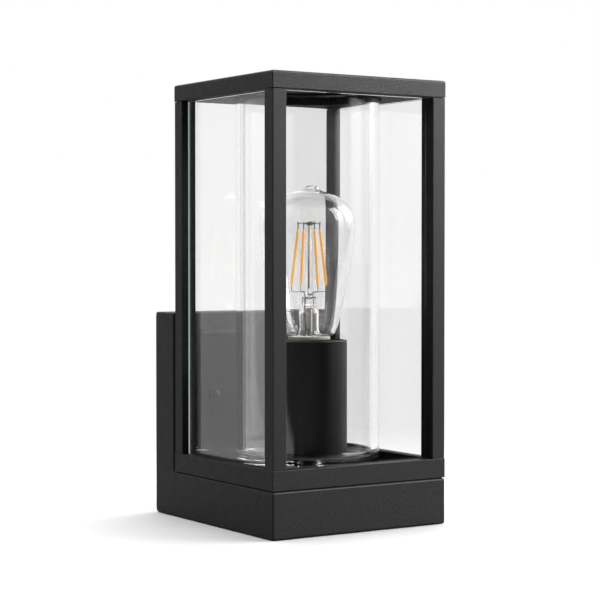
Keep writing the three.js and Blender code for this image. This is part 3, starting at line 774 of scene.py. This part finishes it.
def make_inner_glass():
    outer, floor, top = GLASS_HIGH.x, GLASS_LOW.z, GLASS_HIGH.z
    wall = 5.2 * MM
    inner, inner_floor = outer - wall, floor + 8.2 * MM
    hole, soft = 7 * MM, 0.4 * MM
    foot, well, lip = 2.5 * MM, 5 * MM, 1.1 * MM
    # Short bands beside each rounding keep the long walls' shading flat.
    band = 0.3 * MM
    profile = [(hole, floor + soft), (hole + soft, floor), (outer - foot - band, floor)]
    profile += fillet((outer - foot, floor + foot), foot, -90, 0)
    profile += [(outer, floor + foot + band), (outer, top - lip - band)]
    profile += fillet((outer - lip, top - lip), lip, 0, 90, 8)
    profile += fillet((inner + lip, top - lip), lip, 90, 180, 8)
    profile += [(inner, top - lip - band), (inner, inner_floor + well + band)]
    profile += fillet((inner - well, inner_floor + well), well, 0, -90, 10)
    profile += [(inner - well - band, inner_floor), (hole + soft, inner_floor)]
    profile += [(hole, inner_floor - soft), profile[0]]
    glass = turned("inner_glass_cup", profile, 192)
    return dress(glass, "lantern", THICK, ["inner_glass"])


def make_gaskets():
    soft = 0.2 * MM
    for name, node, inner, body in (
        ("foot_gasket", "glass_foot_gasket", 30 * MM, "lantern"),
        ("top_gasket", "glass_top_gasket", 43.8 * MM, "roof"),
        ("cover_gasket", "holder_gasket", 6 * MM, "lantern"),
    ):
        low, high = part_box(node)
        outer = high.x
        ring = [(inner, low.z), (outer - soft, low.z), (outer, low.z + soft), (outer, high.z - soft)]
        ring += [(outer - soft, high.z), (inner, high.z), (inner, low.z)]
        dress(turned(name, ring, 96), body, RUBBER, [node])


def make_lampholder():
    radius, low, top = COVER_HIGH.x, COVER_LOW.z, COVER_HIGH.z
    wall, edge, hole = 1.4 * MM, 0.6 * MM, 5.4 * MM
    profile = [(hole, low)]
    profile += fillet((radius - edge, low + edge), edge, -90, 0, 4)
    profile += fillet((radius - edge, top - edge), edge, 0, 90, 6)
    profile += [(radius - wall, top), (radius - wall, low + 2 * MM), (hole, low + 2 * MM), (hole, low)]
    dress(turned("holder_sleeve", profile, 144), "lantern", HOLDER, ["lampholder_cover"])

    low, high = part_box("lampholder_insert")
    skirt, bore, chamber = high.x, 14.3 * MM, 18 * MM
    shelf, seat = low.z + 20 * MM, low.z + 25 * MM
    lead_in = 3.1 * MM
    profile = [(2 * MM, shelf), (chamber, shelf), (chamber, low.z), (skirt, low.z)]
    profile += fillet((skirt - 0.3 * MM, high.z - 0.3 * MM), 0.3 * MM, 0, 90, 3)
    profile += [(bore + lead_in + 2 * MM, high.z), (bore + lead_in + 1.6 * MM, high.z - 0.4 * MM)]
    profile += [(bore + lead_in + 0.6 * MM, high.z - 0.4 * MM), (bore + lead_in, high.z)]
    profile += [(bore, high.z - 2.6 * MM), (bore, seat), (2 * MM, seat), (2 * MM, shelf)]
    insert = turned("holder_core", profile, 112)
    dress(insert, "lantern", PLASTIC, ["lampholder_insert"])

    low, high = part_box("thread_shell")
    wall, deep, rows = 0.3 * MM, 0.28 * MM, 90
    outer = high.x - deep
    inner = outer - wall
    levels = [low.z + (high.z - low.z) * i / rows for i in range(rows + 1)]
    profile = [(outer, level) for level in levels] + [(inner, level) for level in reversed(levels)]

    def thread(angle, level):
        return deep * math.sin(2 * math.pi * level / THREAD_PITCH - angle)

    shell = turned("socket_thread", [*profile, profile[0]], 96, wave=thread)
    dress(shell, "lantern", BRASS, ["thread_shell"], weighted=False)


# --- Bulb ------------------------------------------------------------------------------------

CAP_TOP = 126.3
COLLAR_TOP = 128.5


def bulb_outline():
    """(radius, height above the underside) down the pear, its shoulder and its tip."""
    pear = [
        (14.0, 128.7), (16.2, 129.2), (17.6, 130.5), (18.6, 132.6), (20.4, 137),
        (23.1, 147.5), (26.3, 162), (29.3, 175.5), (31.4, 189), (32.5, 202),
        (32.1, 210), (30.4, 216), (27.2, 220.6), (22.4, 224.2), (17.2, 226.8), (12.6, 228.3),
    ]
    tip = [(9.0, 229.3), (6.6, 230.6), (5.2, 232), (3.2, 233.4), (0, 234)]
    points = smooth_path([Vector((r, z)) for r, z in pear + tip], 5)
    return [(max(p.x, 0) * MM, height(p.y)) for p in points]


def make_bulb_glass():
    """A thin envelope, closed below its tip, which was drawn off to one side."""
    outer = bulb_outline()
    outer[-1] = (0, outer[-1][1])
    wall, tip_points = 0.8 * MM, 9
    inner = []
    for i in range(len(outer) - tip_points):
        before, after = outer[max(i - 1, 0)], outer[i + 1]
        along = Vector(after) - Vector(before)
        along.normalize()
        r, z = outer[i]
        inner.append((r - wall * along.y, z + wall * along.x))
    inner[0] = (inner[0][0], outer[0][1])
    crown = inner[-1][1] + 0.25 * MM
    inner += [(inner[-1][0] * 0.6, crown + 0.35 * MM), (inner[-1][0] * 0.3, crown + 0.7 * MM)]
    profile = outer[::-1] + inner + [(0, crown + 0.8 * MM)]
    glass = turned("bulb_envelope", profile, 160)
    lean_from, lean_over = height(228), 5 * MM
    lean = Vector((0.84, -0.54, 0)) * 2.2 * MM
    for vertex in glass.data.vertices:
        share = min(max((vertex.co.z - lean_from) / lean_over, 0), 1)
        vertex.co += lean * share * share * (3 - 2 * share)
    dress(glass, "bulb", ENVELOPE, ["bulb_glass"], angle=60, weighted=False)


def make_bulb_cap():
    crest, depth = 13.05 * MM, 0.5 * MM
    foot, top = height(CAP_TOP - 22.6), height(CAP_TOP)
    thread_low, thread_high = height(CAP_TOP - 20.6), height(CAP_TOP - 4)
    count = 72
    levels = [thread_low + (thread_high - thread_low) * i / count for i in range(count + 1)]

    def thread(angle, level):
        if not thread_low <= level <= thread_high:
            return 0
        run = min(level - thread_low, thread_high - level) / (1.5 * MM)
        wave = math.sin(2 * math.pi * level / THREAD_PITCH - angle)
        return min(run, 1) * depth * wave

    middle, inside, eyelet = crest - depth, 11.9 * MM, 8.4 * MM
    rim, neck = top - 0.1 * MM, top - 2.4 * MM
    profile = [(eyelet, foot), (11.2 * MM, foot), (12.2 * MM, foot + 1 * MM)]
    profile += [(middle, level) for level in levels]
    profile += [(middle, neck), (13.3 * MM, top - 1 * MM), (13.4 * MM, rim)]
    profile += [(12.8 * MM, rim), (inside, neck), (inside, foot + 2 * MM)]
    profile += [(10.9 * MM, foot + 0.5 * MM), (eyelet, foot + 0.5 * MM)]
    cap = turned("bulb_thread_cap", [*profile, profile[0]], 128, wave=thread)
    dress(cap, "bulb", NICKEL, ["bulb_cap"], weighted=False)

    low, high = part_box("bulb_insulator")
    profile = [(4.6 * MM, low.z)]
    profile += fillet((7 * MM, low.z + 2 * MM), 1 * MM, -60, 0, 4)
    profile += [(8 * MM, high.z), (4.6 * MM, high.z), (4.6 * MM, low.z)]
    dress(turned("cap_vitrite", profile, 64), "bulb", VITRITE, ["bulb_insulator"])

    low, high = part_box("bulb_contact")
    profile = [(0, low.z), (1.6 * MM, low.z + 0.1 * MM), (3.2 * MM, low.z + 0.7 * MM)]
    profile += [(4.2 * MM, low.z + 1.4 * MM), (4.2 * MM, high.z), (0, high.z)]
    dress(turned("cap_contact", profile, 48), "bulb_foot", NICKEL, ["bulb_contact"])

    low, high = height(CAP_TOP + 0.05), height(COLLAR_TOP)
    soft, outer, inner = 0.5 * MM, 14.8 * MM, 12.6 * MM
    profile = [(inner, low), *fillet((outer - soft, low + soft), soft, -90, 0, 4)]
    profile += [*fillet((outer - soft, high - soft), soft, 0, 90, 4), (inner, high), (inner, low)]
    collar = turned("bulb_collar_ring", profile, 112)
    dress(collar, "bulb", CREAM, ["bulb_collar"])


def make_stem():
    radius, skirt, thin = 7, 11.4, 0.9
    flare = profile_mm(
        (skirt, 126.6), (9.6, 128), (7.9, 130.4), (radius, 134), (radius, 146), (5.6, 148.4),
        (3.6, 149.6), (0, 149.9), (0, 148.9), (3.2, 148.5), (5, 147), (radius - thin, 144.8),
        (radius - thin, 134), (7, 130.8), (8.6, 128.6), (skirt - thin, 126.6), (skirt, 126.6),
    )
    half_width, half_depth = 5.6 * MM, 1.6 * MM
    outline = rounded_rectangle(
        (-half_width, CAGE_AXIS.y - half_depth), (half_width, CAGE_AXIS.y + half_depth), 1.5 * MM
    )
    press = slab("press", outline, height(150.1), height(156.2), 1 * MM)
    rod = profile_mm(
        (0, 156.5), (2.6, 156.7), (2.2, 159), (2.2, 203.4), (1.6, 204.6), (0.45, 204.9),
        (0.45, 162), (0, 161.6),
    )
    exhaust = profile_mm((1.9, 127), (2.6, 127), (2.6, 147), (2.2, 148.2), (1.9, 147), (1.9, 127))
    flare_piece = turned("stem_flare", flare, 64)
    parts = [flare_piece, press, turned("rod", rod, 40), turned("exhaust", exhaust, 32)]
    stem = joined("stem_glasswork", parts)
    dress(stem, "bulb", ENVELOPE, ["bulb_stem"], angle=50, weighted=False)


FILAMENT_TURN = -6.9
FILAMENT_LOW, FILAMENT_HIGH = 162.3, 204.7
FILAMENT_LOW_RADIUS, FILAMENT_HIGH_RADIUS = 13.5, 8.4


def around(radius, degrees, level):
    angle = math.radians(degrees)
    spot = Vector((math.cos(angle), math.sin(angle), 0)) * radius * MM
    return CAGE_AXIS + spot + Vector((0, 0, height(level)))


def straight_up(x, start, step, count):
    """Points one above the other beside the axis, from millimetres."""
    return [CAGE_AXIS + Vector((x * MM, 0, height(start + step * i))) for i in range(count)]


def make_filaments():
    tab, steps = 1.6, 40
    for k in range(4):
        turn = FILAMENT_TURN + 90 * k
        low = around(FILAMENT_LOW_RADIUS, turn, FILAMENT_LOW + tab)
        high = around(FILAMENT_HIGH_RADIUS, turn, FILAMENT_HIGH - tab)
        path = [low.lerp(high, i / steps) for i in range(steps + 1)]

        def plump(share):
            end = min(share, 1 - share) * steps
            return math.sqrt(min(1, (0.3 + end) / 2)) * (1 + 0.03 * math.sin(share * 150))

        bar = tube(f"filament_bar_{k + 1}", path, 0.98 * MM, 16, plump)
        dress(
            bar, "bulb", PHOSPHOR_PAINTED_GLOW, [f"led_filament_{k + 1}"],
            angle=80, weighted=False,
        )


def make_hanger():
    """The top cross wires, the bead they pass through and the wire in the rod."""
    wire, level = 0.28 * MM, 207.0
    parts = []
    for k in range(4):
        turn = FILAMENT_TURN + 90 * k
        post = [around(FILAMENT_HIGH_RADIUS, turn, FILAMENT_HIGH - 2.4 + i) for i in range(7)]
        parts.append(tube("post", post, 0.4 * MM, 10))
    for k in range(2):
        turn, reach = FILAMENT_TURN + 90 * k, FILAMENT_HIGH_RADIUS + 0.9
        low, high = around(-reach, turn, level), around(reach, turn, level)
        bar = [low.lerp(high, i / 12) for i in range(13)]
        parts.append(tube("cross", bar, wire, 10))
    parts.append(tube("core", straight_up(0, 162.4, 2.2, 21), 0.3 * MM, 10))
    hanger = joined("hanger_wires", parts)
    dress(hanger, "bulb", LEAD, ["filament_hanger"], angle=80, weighted=False)
    bead = [
        (3.1 * MM * math.sin(t), height(206.9) - 1.7 * MM * math.cos(t))
        for t in [math.pi * i / 24 for i in range(25)]
    ]
    bead[0], bead[-1] = (0, bead[0][1]), (0, bead[-1][1])
    dress(turned("hanger_bead", bead, 48), "bulb", ENVELOPE, angle=80, weighted=False)


def make_leads():
    """Each lead feeds two filaments, drops into the press and goes on down inside the stem."""
    level, seal_x, tail_x = 159.6, 3.4, 3.9
    for label, first, side in (("left", 1, -1), ("right", 3, 1)):
        parts = []
        for k in (first, first + 1):
            turn = FILAMENT_TURN + 90 * k
            stops = [
                around(FILAMENT_LOW_RADIUS - 0.25, turn, FILAMENT_LOW + 2.4),
                around(FILAMENT_LOW_RADIUS + 0.1, turn, FILAMENT_LOW - 0.6),
                around(FILAMENT_LOW_RADIUS - 0.4, turn, level + 0.5),
                around(FILAMENT_LOW_RADIUS - 1.8, turn, level),
                around(6.4, turn, level),
                CAGE_AXIS + Vector((side * 3.6 * MM, 0, height(level - 0.8))),
                CAGE_AXIS + Vector((side * seal_x * MM, 0, height(level - 4.2))),
            ]
            parts.append(tube("lead", smooth_path(stops, 6), 0.28 * MM, 10))
        parts.append(tube("foot", straight_up(side * seal_x, 151, 0.8, 7), 0.42 * MM, 12))
        seal = straight_up(side * seal_x, 146, 0.5, 9)
        sleeve = tube("dumet_wire_" + label, seal, 0.62 * MM, 12)
        dress(sleeve, "bulb", COPPER, angle=80, weighted=False)
        tail = straight_up(side * tail_x, 128, 1.1, 17)
        lower = tube("lower_lead_" + label, tail, 0.4 * MM, 12)
        dress(lower, "bulb", LEAD, angle=80, weighted=False)
        lead = joined("feed_wire_" + label, parts)
        dress(lead, "bulb", LEAD, ["lead_wire_" + label], angle=80, weighted=False)


# --- CAD nodes that stay ---------------------------------------------------------------------


def finish_kept_nodes():
    """Hidden and small CAD nodes keep their shape and get softened edges and a finish."""
    kept = {
        "wall_bracket": (ZINC, 0.25), "cable_grommet": (RUBBER, 0.2), "wall_gasket": (RUBBER, 0.1),
        "mounting_stud_left": (ZINC, 0.2), "mounting_stud_right": (ZINC, 0.2),
        "terminal_block": (TERMINAL, 0.4), "live_wire": (BROWN, 0), "neutral_wire": (BLUE, 0),
        "earth_wire": (GREEN, 0), "earth_screw": (BRASS, 0.2), "base_gasket": (RUBBER, 0),
        "centre_contact": (BRASS, 0.1), "threaded_nipple": (SCREW, 0.1),
        "nipple_nut_lower": (SCREW, 0.3), "nipple_nut_upper": (SCREW, 0.3),
    }
    for node, (material, edge) in kept.items():
        piece = NODES[node]
        piece.data.materials.clear()
        piece.data.materials.append(material)
        if edge:
            modifier = piece.modifiers.new("edges", "BEVEL")
            modifier.width = edge * MM
            modifier.segments = 2
            modifier.limit_method = "ANGLE"
            modifier.angle_limit = math.radians(40)


# --- Studio ----------------------------------------------------------------------------------

DARK_SIDE = 0.012
LEFT_LOW, LEFT_HIGH = 0.1, 0.4
BOX_LOW, BOX_HIGH = 0.3, 6.5
BOX_IN_GLASS = 0.42
SHEEN_POWER = 5.5
FLOOR_BOUNCE, FLOOR_DARK, FLOOR_WHITE = 0.35, 0.01, 1.02
FLOOR_GLOW = (0.12, 0.7)
FLOOR_VEIL = (0.24, 0.4)
TOP_POWER = 24
# Where each part of the world begins and ends: a direction's X, Y or Z, or an azimuth in degrees.
BACK_Y, ABOVE_Z = (-0.35, 0.1), (0.35, 0.9)
LEFT_X, LEFT_Z = (-0.6, -0.2), (-0.12, 0.08)
BOX_NEAR, BOX_FAR = (33.5, 47), (95, 120)
BOX_RISE_Z, BOX_FALL_Z = (-0.08, 0.2), (0.5, 0.75)


def make_floor():
    """White, unshaded far from the lantern, and dark to reflections on the camera's side."""
    floor = slab(
        "studio_floor",
        rounded_rectangle((-30, -30), (30, 30), 2),
        UNDERSIDE - 20 * MM,
        UNDERSIDE - 0.3 * MM,
    )
    shader = Shader("studio_floor", (0.9, 0.9, 0.9), 0.7)
    tree, nodes, links = shader.tree, shader.nodes, shader.links
    shader.vary_colour(shader.noise(4, 2), (0.895, 0.895, 0.895), (0.905, 0.905, 0.905))
    shader.set("Specular IOR Level", 0.1)
    floor.data.materials.append(shader.material)
    spread = nodes.new("ShaderNodeVectorMath")
    spread.operation = "DISTANCE"
    links.new(shader.place, spread.inputs[0])
    spread.inputs[1].default_value = (0, CAGE_AXIS.y, UNDERSIDE)
    light = nodes.new("ShaderNodeEmission")
    light.inputs["Strength"].default_value = FLOOR_WHITE
    lit = nodes.new("ShaderNodeMixShader")
    links.new(ramp(tree, spread.outputs["Value"], *FLOOR_GLOW), lit.inputs["Fac"])
    links.new(shader.surface.outputs["BSDF"], lit.inputs[1])
    links.new(light.outputs["Emission"], lit.inputs[2])
    axes = nodes.new("ShaderNodeSeparateXYZ")
    links.new(shader.place, axes.inputs["Vector"])
    veil = [CAGE_AXIS.y - ahead for ahead in FLOOR_VEIL]
    front = ramp(tree, axes.outputs["Y"], *veil)
    path = nodes.new("ShaderNodeLightPath").outputs
    unseen = combine(tree, "SUBTRACT", 1.0, path["Is Camera Ray"])
    bounced = bounced_off(tree)
    dulled = combine(tree, "MULTIPLY", bounced, 1 - FLOOR_BOUNCE)
    dark = nodes.new("ShaderNodeEmission")
    dark.inputs["Strength"].default_value = FLOOR_DARK
    mix = nodes.new("ShaderNodeMixShader")
    veiled = combine(tree, "MULTIPLY", front, unseen)
    links.new(combine(tree, "MAXIMUM", veiled, dulled), mix.inputs["Fac"])
    links.new(lit.outputs["Shader"], mix.inputs[1])
    links.new(dark.outputs["Emission"], mix.inputs[2])
    links.new(mix.outputs["Shader"], shader.output.inputs["Surface"])
    floor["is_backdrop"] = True


def area_light(name, place, aim, size, power):
    lamp = bpy.data.lights.new(name, "AREA")
    lamp.shape = "RECTANGLE"
    lamp.size = lamp.size_y = size
    lamp.energy = power
    light = bpy.data.objects.new(name, lamp)
    light.location = place
    light.rotation_euler = (Vector(aim) - Vector(place)).to_track_quat("-Z", "Y").to_euler()
    light.visible_camera = False
    bpy.context.scene.collection.objects.link(light)
    return light


def around_cage(azimuth, distance, level):
    """A place round the cage: azimuth 0 is in front of it, 90 to its right."""
    angle = math.radians(azimuth)
    return CAGE_AXIS + Vector((math.sin(angle), -math.cos(angle), 0)) * distance + Vector((0, 0, level))


def make_lights():
    middle = CAGE_AXIS + Vector((0, 0, height(150)))
    area_light("top_softbox", around_cage(160, 0.3, 1.9), middle, 1.6, TOP_POWER)
    roof = CAGE_AXIS + Vector((0, 0, ROOF_HIGH.z))
    sheen = area_light("sheen", around_cage(52, 0.62, 0.5), roof, 0.45, SHEEN_POWER)
    sheen.visible_diffuse = False


def make_world():
    """White behind the lantern, a tall softbox to its right, dark on the camera's side."""
    world = bpy.data.worlds.new("studio")
    bpy.context.scene.world = world
    world.use_nodes = True
    tree = world.node_tree
    nodes, links = tree.nodes, tree.links
    background = next(n for n in nodes if n.type == "BACKGROUND")
    place = nodes.new("ShaderNodeTexCoord").outputs["Generated"]
    axes = nodes.new("ShaderNodeSeparateXYZ")
    links.new(place, axes.inputs["Vector"])
    x, y, z = (axes.outputs[name] for name in "XYZ")
    back = ramp(tree, y, *BACK_Y, DARK_SIDE, 1.0)
    left = ramp(tree, x, *LEFT_X, 1.0, 0.0)
    shade = ramp(tree, z, *LEFT_Z, 1 - LEFT_LOW, 1 - LEFT_HIGH)
    left = combine(tree, "MULTIPLY", left, shade)
    left = combine(tree, "MULTIPLY", left, bounced_off(tree))
    back = combine(tree, "MULTIPLY", back, combine(tree, "SUBTRACT", 1.0, left))
    above = ramp(tree, z, *ABOVE_Z)
    turn = combine(tree, "ARCTAN2", x, combine(tree, "MULTIPLY", y, -1.0))
    near = ramp(tree, turn, *map(math.radians, BOX_NEAR))
    far = ramp(tree, turn, *map(math.radians, BOX_FAR), 1.0, 0.0)
    rise = ramp(tree, z, *BOX_RISE_Z, BOX_LOW, BOX_HIGH)
    box = combine(tree, "MULTIPLY", combine(tree, "MULTIPLY", near, far), rise)
    box = combine(tree, "MULTIPLY", box, ramp(tree, z, *BOX_FALL_Z, 1.0, 0.0))
    mirrored = nodes.new("ShaderNodeLightPath").outputs["Is Singular Ray"]
    dimmed = combine(tree, "MULTIPLY", mirrored, 1 - BOX_IN_GLASS)
    box = combine(tree, "MULTIPLY", box, combine(tree, "SUBTRACT", 1.0, dimmed))
    level = combine(tree, "MAXIMUM", back, above)
    level = combine(tree, "MAXIMUM", level, box)
    seen = nodes.new("ShaderNodeLightPath").outputs["Is Camera Ray"]
    white = nodes.new("ShaderNodeMix")
    links.new(seen, white.inputs[0])
    links.new(level, white.inputs[2])
    white.inputs[3].default_value = 1.0
    links.new(white.outputs[0], background.inputs["Strength"])
    background.inputs["Color"].default_value = (1, 1, 1, 1)


def make_camera():
    data = bpy.data.cameras.new("camera")
    data.lens, data.sensor_width = 106.343, 36
    data.clip_start, data.clip_end = 0.05, 100
    camera = bpy.data.objects.new("camera", data)
    camera.location = (-0.67551, -1.12842, 0.11326)
    pitch, yaw = -1.463, 32.903
    camera.rotation_euler = (math.radians(90 + pitch), 0, math.radians(-yaw))
    bpy.context.scene.collection.objects.link(camera)
    bpy.context.scene.camera = camera


def set_light_paths():
    """Enough bounces to see through three glasses and back, in plain display colours."""
    scene = bpy.context.scene
    scene.view_settings.view_transform = "Standard"
    scene.cycles.max_bounces = 32
    scene.cycles.transmission_bounces = 32
    scene.cycles.glossy_bounces = 6
    scene.cycles.diffuse_bounces = 4
    scene.cycles.transparent_max_bounces = 48
    scene.cycles.caustics_reflective = False
    scene.cycles.caustics_refractive = False


make_camera()
make_housing()
make_tray()
make_posts()
make_panes()
make_roof()
make_screws()
make_cap_nuts()
make_inner_glass()
make_gaskets()
make_lampholder()
make_bulb_glass()
make_bulb_cap()
make_stem()
make_filaments()
make_hanger()
make_leads()
finish_kept_nodes()
make_floor()
make_lights()
make_world()
set_light_paths()

boxes = {"cad": cad_box, "visual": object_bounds()}
{name: [list(low), list(high)] for name, (low, high) in boxes.items()}
